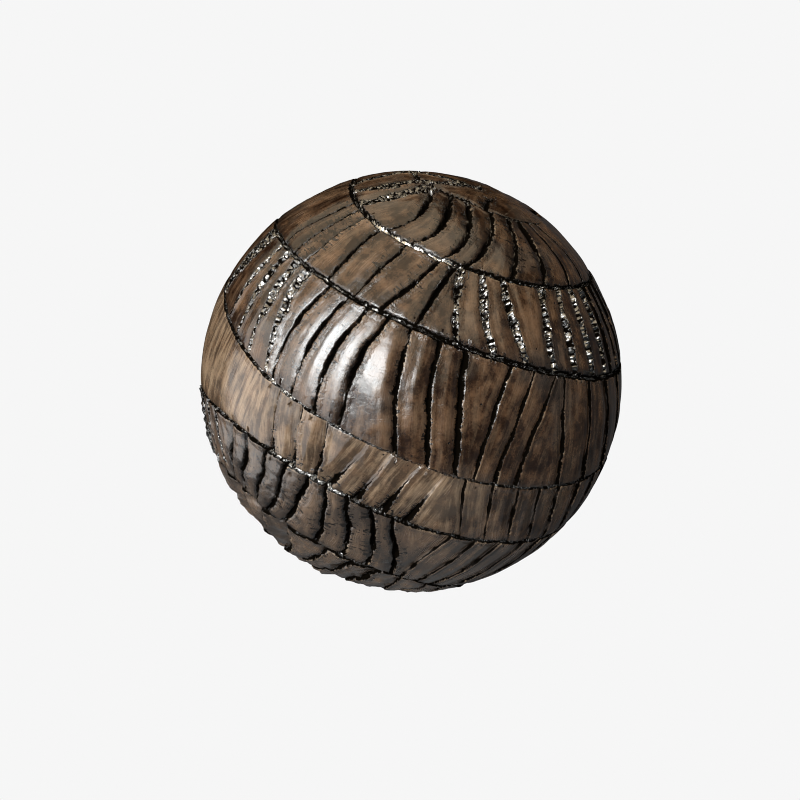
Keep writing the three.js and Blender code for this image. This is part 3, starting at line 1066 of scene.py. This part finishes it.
def brown_paint(tree, noises, grooves, strokes, band, edge_wear_and_highlight):
    """The brown, mottled, greyer low down as a painted reflection from below, and dry-brushed with
    tan along the strokes. Beside cuts it has painted shade, and along their far edges pale tan that
    is partly wear and partly a painted highlight."""
    brushed = tree.step(abs(band - BRUSHED_TURNS), *BRUSHED_SPREAD)
    streaks = strokes.fine * 0.25 + strokes.broad + noises.patches * 0.6 + noises.crumbs * 0.1
    streaks = tree.step(streaks, *BRUSHED)
    mottle = strokes.broad * 0.3 + noises.dents * 0.9 + noises.patches * 1.4 + noises.crumbs * 0.5
    paint = tree.blend_colours(tree.step(mottle, *MOTTLED), DARK_BROWN, BROWN)
    grey_patches = tree.step(noises.greyed, *GREYED_PATCH)
    # Grey patches at random, and greyer low down as a painted reflection from below.
    greyed = tree.larger(grey_patches * 0.3, tree.step(band, *GREY_REFLECTION_TURNS) * 0.4)
    paint = tree.blend_colours(greyed, paint, GREY_BROWN)
    paint = tree.blend_colours(streaks * (0.15 + brushed * 0.45) + brushed * 0.12, paint, TAN)
    # Painted shade beside cuts.
    paint = tree.blend_colours(grooves.shaded * 0.7, paint, SHADE_BROWN)
    # Pale tan along far edges, partly wear and partly a painted highlight.
    return tree.blend_colours(edge_wear_and_highlight * 0.5, paint, EDGE_WEAR_AND_HIGHLIGHT_TAN)


def painted_relief(tree, noises, grooves, strokes, pebble_height, hollow, edge_wear_and_highlight):
    """The height of what is too fine to carve."""
    return (
        pebble_height * grooves.pebbled
        + grooves.middle * (noises.bites + 0.5) * BEAD_RELIEF
        + grooves.rim * noises.dents * RIM_RELIEF
        - hollow * HOLLOW_RELIEF
        - grooves.stained * STAIN_RELIEF
        + edge_wear_and_highlight * EDGE_WEAR_AND_HIGHLIGHT_RELIEF
        + strokes.fine * FINE_STROKE_RELIEF
        + strokes.broad * BROAD_STROKE_RELIEF
        - strokes.scratches * SCRATCH_RELIEF
        + noises.dents * DENT_RELIEF
        + noises.crumbs * (CRUMB_RELIEF + grooves.shaded * SHADED_CRUMB_RELIEF)
    )


def painted_resin(centre):
    """Glossy varnish over brown paint, with pewter beads, and matt black deep in the grooves, which is
    black paint and also painted shade there.
    """
    material = bpy.data.materials.new("varnished_brown_paint")
    material.use_nodes = True
    material.node_tree.nodes.clear()
    tree = Tree(material.node_tree)

    place = attribute(tree, "on_ball")
    noises = Noises(*(tree.noise(place, *sizes) for sizes in (PATCHES, GREYED, DENTS, CRUMBS, BITES)))
    silver, by_seam, band = tree.split(attribute(tree, "seam_look"))
    grooves = all_grooves(tree, noises, silver)
    strokes = brush_strokes(tree, place, centre, noises)
    pebble_height, pebble_tops = pebbles(tree, place, PAINTED_PEBBLE)
    seam_pits = pits(tree, place, SEAM_PIT_SPACING) * tree.step(by_seam, *SEAM_PIT_REACH)
    pitted = tree.larger(pits(tree, place, PIT_SPACING), seam_pits)
    # Where the far edges of cuts are pale: partly wear and partly a painted highlight.
    edge_wear_and_highlight = tree.step(grooves.rim, *EDGE_WEAR_AND_HIGHLIGHT_RIM) * tree.step(noises.bites * 0.7 + noises.patches, *EDGE_WEAR_AND_HIGHLIGHT)

    paint = brown_paint(tree, noises, grooves, strokes, band, edge_wear_and_highlight)
    paint = tree.blend_colours(tree.larger(grooves.stained * 0.9, pitted), paint, STAIN_BLACK)
    beads = tree.larger(pebble_tops * grooves.pebbled, grooves.middle * grooves.black)
    # Matt black on the groove floors: black paint, and painted shade deep in the grooves.
    black_floors_and_shade = grooves.black * (1 - beads)
    paint = tree.blend_colours(beads, paint, tree.blend_colours(silver, PEWTER, SILVER))
    hollow = tree.larger(black_floors_and_shade, pitted)
    relief = painted_relief(tree, noises, grooves, strokes, pebble_height, hollow, edge_wear_and_highlight)
    bump = tree.add("ShaderNodeBump", None, {"Strength": 1.0, "Distance": 1.0, "Height": relief})
    roughness = tree.step(noises.patches * 0.6 + strokes.fine * 0.4, 0.4, 0.6, *ROUGHNESS)
    varnished = {
        "Base Color": paint,
        "Roughness": roughness,
        "Metallic": beads,
        "Specular IOR Level": 0.5,
        "Coat Weight": 0.3,
        "Coat Roughness": 0.12,
        "Normal": bump,
    }
    surface = tree.add("ShaderNodeBsdfPrincipled", None, varnished)
    matt = tree.add("ShaderNodeBsdfDiffuse", None, {"Color": GROOVE_BLACK_AND_SHADE})
    surface = tree.add("ShaderNodeMixShader", None, [black_floors_and_shade, surface, matt])
    tree.add("ShaderNodeOutputMaterial", None, {"Surface": surface})
    return material


# ---------------- the stage


def camera_on(centre):
    data = bpy.data.cameras.new("camera")
    data.lens = LENS
    data.clip_start = 0.01
    camera = placed("camera", data)
    tilt = math.radians(VIEW_ELEVATION)
    back = Vector((0, -math.cos(tilt), math.sin(tilt)))
    right = Vector((1, 0, 0))
    up = Vector((0, math.sin(tilt), math.cos(tilt)))
    target = centre - right * AIM_LEFT * BALL_RADIUS - up * AIM_BELOW * BALL_RADIUS
    camera.location = centre + back * VIEW_DISTANCE * BALL_RADIUS
    camera.rotation_euler = (target - camera.location).to_track_quat("-Z", "Y").to_euler()
    bpy.context.scene.camera = camera


def sun(name, towards, strength, width, colour):
    """A distant soft light."""
    data = bpy.data.lights.new(name, "SUN")
    data.energy = strength
    data.angle = math.radians(width)
    data.color = colour
    placed(name, data).rotation_euler = Vector(towards).to_track_quat("Z", "Y").to_euler()


def plain_glow(name, colour):
    """A material of one flat colour that nothing shades."""
    material = bpy.data.materials.new(name)
    material.use_nodes = True
    material.node_tree.nodes.clear()
    tree = Tree(material.node_tree)
    glow = tree.add("ShaderNodeEmission", None, {"Color": colour, "Strength": 1.0})
    tree.add("ShaderNodeOutputMaterial", None, {"Surface": glow})
    return material


def floor():
    reach = FLOOR_REACH
    corners = [(-reach, -reach, 0), (reach, -reach, 0), (reach, reach, 0), (-reach, reach, 0)]
    data = bpy.data.meshes.new("floor")
    data.from_pydata(corners, [], [(0, 1, 2, 3)])
    data.materials.append(plain_glow("pale_floor", PALE))
    plane = placed("floor", data)
    plane.visible_diffuse = False
    plane.visible_glossy = False
    plane.visible_shadow = False


def studio():
    """Soft lights, and a pale backdrop that doesn't light the ball."""
    scene = bpy.context.scene
    world = bpy.data.worlds.new("studio")
    scene.world = world
    world.use_nodes = True
    world.node_tree.nodes["Background"].inputs["Color"].default_value = PALE
    world.cycles_visibility.diffuse = False
    world.cycles_visibility.glossy = False
    scene.cycles.filter_width = PICTURE_SOFTNESS
    scene.view_settings.view_transform = "Standard"
    for name, (towards, strength, width, colour) in LIGHTS.items():
        sun(name, towards, strength, width, colour)


def main():
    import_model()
    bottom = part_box(NODE)[0].z
    centre = Vector((0, 0, bottom + math.sqrt(BALL_RADIUS**2 - FLAT_RADIUS**2)))

    camera_on(centre)
    ball = carved_ball(centre, painted_resin(centre))
    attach(ball, "root")
    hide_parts(NODE)
    floor()
    studio()


main()
